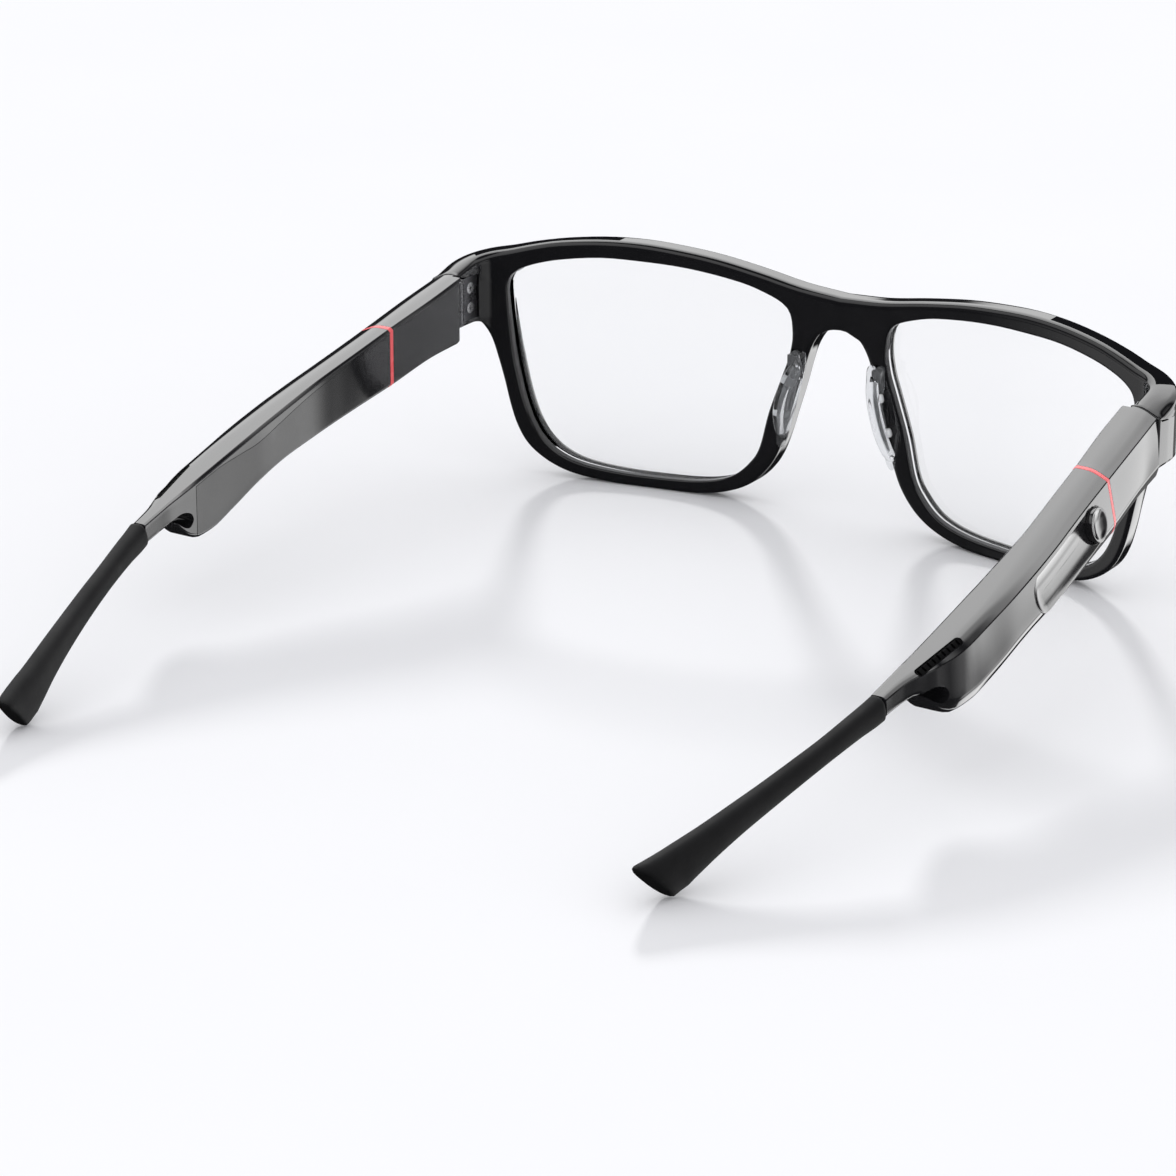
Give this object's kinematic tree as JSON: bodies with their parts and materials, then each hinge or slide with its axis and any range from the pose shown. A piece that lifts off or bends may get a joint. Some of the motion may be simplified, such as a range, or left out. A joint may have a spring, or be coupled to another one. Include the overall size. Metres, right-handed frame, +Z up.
{
  "type": "smart glasses",
  "caption": "Wrapped full-rim smart glasses with thick electronics temples that fold, unplug at a coloured ring and end in rubber tips.",
  "frame": {"origin": "middle of the overall box on the surface the glasses rest on, with the temples open", "axes": "+Z up, -Y the way the wearer looks, +X the wearer's left"},
  "size_m": [0.1512, 0.1602, 0.0445],
  "materials": {
    "frame_gloss": "polished",
    "temple_gloss": "polished",
    "cover_gloss": "polished",
    "lens_clear": "polished, clear coat",
    "pad_silicone": "translucent satin",
    "carrier_clear": "polished",
    "hinge_steel": "brushed",
    "screw_steel": "turned",
    "plug_gold": "plated",
    "ring_coral": "satin",
    "touch_gloss": "polished",
    "button_gloss": "polished",
    "inner_steel": "stamped",
    "board_green": "solder mask",
    "battery_case": "foil",
    "inner_black": "moulded",
    "mesh_black": "satin",
    "flex_amber": "film",
    "tip_rubber": "matte"
  },
  "bodies": {
    "front": {"front_frame": "frame_gloss", "lens_l": "lens_clear", "lens_r": "lens_clear", "nose_pad_l": "pad_silicone", "nose_pad_r": "pad_silicone", "pad_carrier_l": "carrier_clear", "pad_carrier_r": "carrier_clear", "leaf_front_l": "hinge_steel", "leaf_front_r": "hinge_steel", "leaf_screws_l": "screw_steel", "leaf_screws_r": "screw_steel", "hinge_pin_l": "screw_steel", "hinge_pin_r": "screw_steel"},
    "arm_left": {"arm_shell_l": "temple_gloss", "arm_cover_l": "cover_gloss", "leaf_arm_l": "hinge_steel", "plug_l": "plug_gold"},
    "temple_left": {"ring_l": "ring_coral", "temple_shell_l": "temple_gloss", "temple_cover_l": "cover_gloss", "touch_panel_l": "touch_gloss", "switch_l": "inner_steel", "socket_l": "inner_steel", "board_l": "board_green", "battery_l": "battery_case", "speaker_l": "inner_black", "speaker_mesh_l": "mesh_black", "vent_mesh_l": "mesh_black", "microphone_l": "plug_gold", "flex_l": "flex_amber", "tip_core_l": "inner_steel", "tip_sleeve_l": "tip_rubber"},
    "button_left": {"button_l": "button_gloss"},
    "arm_right": {"arm_shell_r": "temple_gloss", "arm_cover_r": "cover_gloss", "leaf_arm_r": "hinge_steel", "plug_r": "plug_gold"},
    "temple_right": {"ring_r": "ring_coral", "temple_shell_r": "temple_gloss", "temple_cover_r": "cover_gloss", "touch_panel_r": "touch_gloss", "switch_r": "inner_steel", "socket_r": "inner_steel", "board_r": "board_green", "battery_r": "battery_case", "speaker_r": "inner_black", "speaker_mesh_r": "mesh_black", "vent_mesh_r": "mesh_black", "microphone_r": "plug_gold", "flex_r": "flex_amber", "tip_core_r": "inner_steel", "tip_sleeve_r": "tip_rubber"},
    "button_right": {"button_r": "button_gloss"}
  },
  "joints": [
    {"name": "hinge_left", "type": "hinge", "parent": "front", "child": "arm_left", "pos_m": [0.0654, -0.05588, 0.0333], "axis": [0, 0, 1], "range_deg": [0, 90]},
    {"name": "hinge_right", "type": "hinge", "parent": "front", "child": "arm_right", "pos_m": [-0.0654, -0.05588, 0.0333], "axis": [0, 0, -1], "range_deg": [0, 80]},
    {"name": "unplug_left", "type": "slide", "parent": "arm_left", "child": "temple_left", "axis": [0, 0.9741, -0.226], "range_m": [0, 0.0075]},
    {"name": "unplug_right", "type": "slide", "parent": "arm_right", "child": "temple_right", "axis": [0, 0.9741, -0.226], "range_m": [0, 0.0075]},
    {"name": "press_left", "type": "slide", "parent": "temple_left", "child": "button_left", "axis": [-0.9771, 0.0296, -0.2108], "range_m": [0, 0.0003], "stiffness_N_per_m": 3000},
    {"name": "press_right", "type": "slide", "parent": "temple_right", "child": "button_right", "axis": [0.9771, 0.0296, -0.2108], "range_m": [0, 0.0003], "stiffness_N_per_m": 3000}
  ]
}
